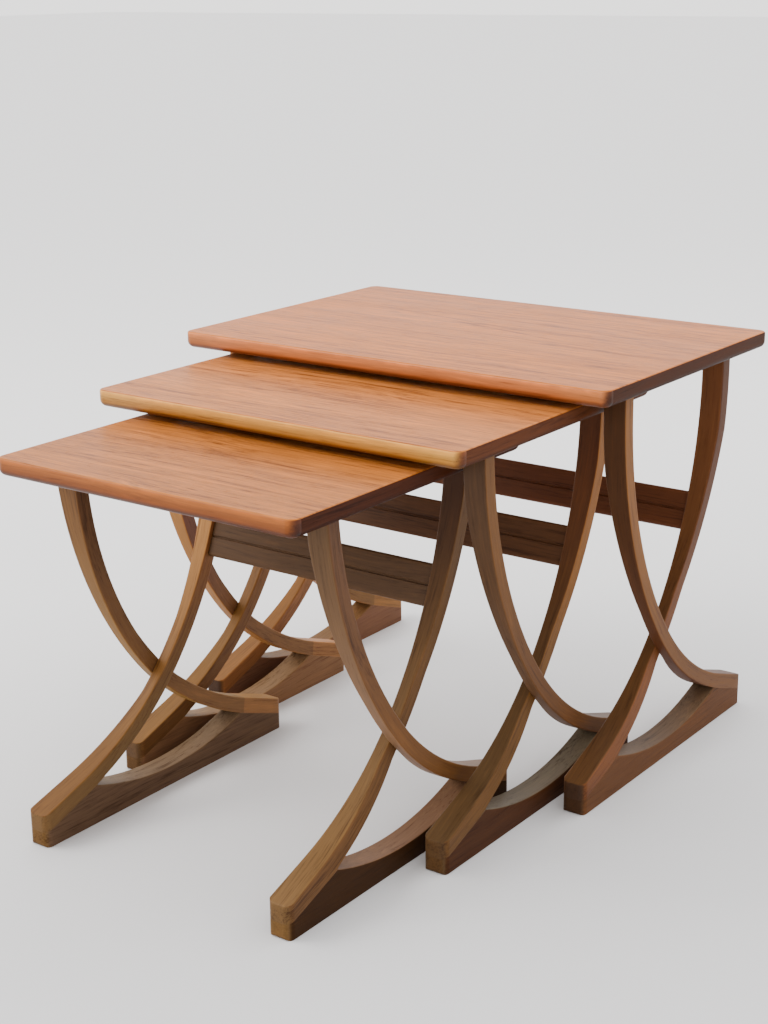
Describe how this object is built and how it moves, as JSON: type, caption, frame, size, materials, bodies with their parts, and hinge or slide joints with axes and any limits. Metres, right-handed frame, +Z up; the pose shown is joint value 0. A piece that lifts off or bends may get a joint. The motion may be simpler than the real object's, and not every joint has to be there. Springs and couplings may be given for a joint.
{
  "type": "nest of tables",
  "caption": "Nest of side tables that slide under one another, on side frames of crossed curved legs with shaped feet and rear rails.",
  "frame": {"origin": "on the floor, under the centre of the whole group as shown, with the smaller tables pulled out to the front", "axes": "+X to the right across the tables, seen from the front; +Y from front to rear; +Z up"},
  "size_m": [0.606, 0.819, 0.5],
  "materials": {
    "top_veneer": "satin lacquered teak veneer",
    "under_veneer": "plain sealed veneer",
    "panel_core": "raw chipboard or laminated core, hidden",
    "lipping": "satin lacquered solid teak",
    "leg": "satin lacquered solid teak",
    "foot": "satin lacquered solid teak",
    "rail": "satin lacquered solid teak",
    "dowel": "plain beech, hidden"
  },
  "bodies": {
    "large_table": {"large_panel_core": "panel_core", "large_top_veneer": "top_veneer", "large_under_veneer": "under_veneer", "large_front_lipping": "lipping", "large_rear_lipping": "lipping", "large_left_lipping": "lipping", "large_right_lipping": "lipping", "large_left_front_leg": "leg", "large_left_rear_leg": "leg", "large_right_front_leg": "leg", "large_right_rear_leg": "leg", "large_left_foot": "foot", "large_right_foot": "foot", "large_rear_rail": "rail", "large_top_dowels": "dowel", "large_foot_dowels": "dowel", "large_crossing_dowels": "dowel", "large_rail_dowels": "dowel"},
    "middle_table": {"middle_panel_core": "panel_core", "middle_top_veneer": "top_veneer", "middle_under_veneer": "under_veneer", "middle_front_lipping": "lipping", "middle_rear_lipping": "lipping", "middle_left_lipping": "lipping", "middle_right_lipping": "lipping", "middle_left_front_leg": "leg", "middle_left_rear_leg": "leg", "middle_right_front_leg": "leg", "middle_right_rear_leg": "leg", "middle_left_foot": "foot", "middle_right_foot": "foot", "middle_rear_rail": "rail", "middle_top_dowels": "dowel", "middle_foot_dowels": "dowel", "middle_crossing_dowels": "dowel", "middle_rail_dowels": "dowel"},
    "small_table": {"small_panel_core": "panel_core", "small_top_veneer": "top_veneer", "small_under_veneer": "under_veneer", "small_front_lipping": "lipping", "small_rear_lipping": "lipping", "small_left_lipping": "lipping", "small_right_lipping": "lipping", "small_left_front_leg": "leg", "small_left_rear_leg": "leg", "small_right_front_leg": "leg", "small_right_rear_leg": "leg", "small_left_foot": "foot", "small_right_foot": "foot", "small_rear_rail": "rail", "small_top_dowels": "dowel", "small_foot_dowels": "dowel", "small_crossing_dowels": "dowel", "small_rail_dowels": "dowel"}
  },
  "joints": [
    {"name": "middle_slide", "type": "slide", "parent": "large_table", "child": "middle_table", "axis": [0, -1, 0], "range_m": [-0.19, 0.21]},
    {"name": "small_slide", "type": "slide", "parent": "middle_table", "child": "small_table", "axis": [0, -1, 0], "range_m": [-0.185, 0.21]}
  ]
}
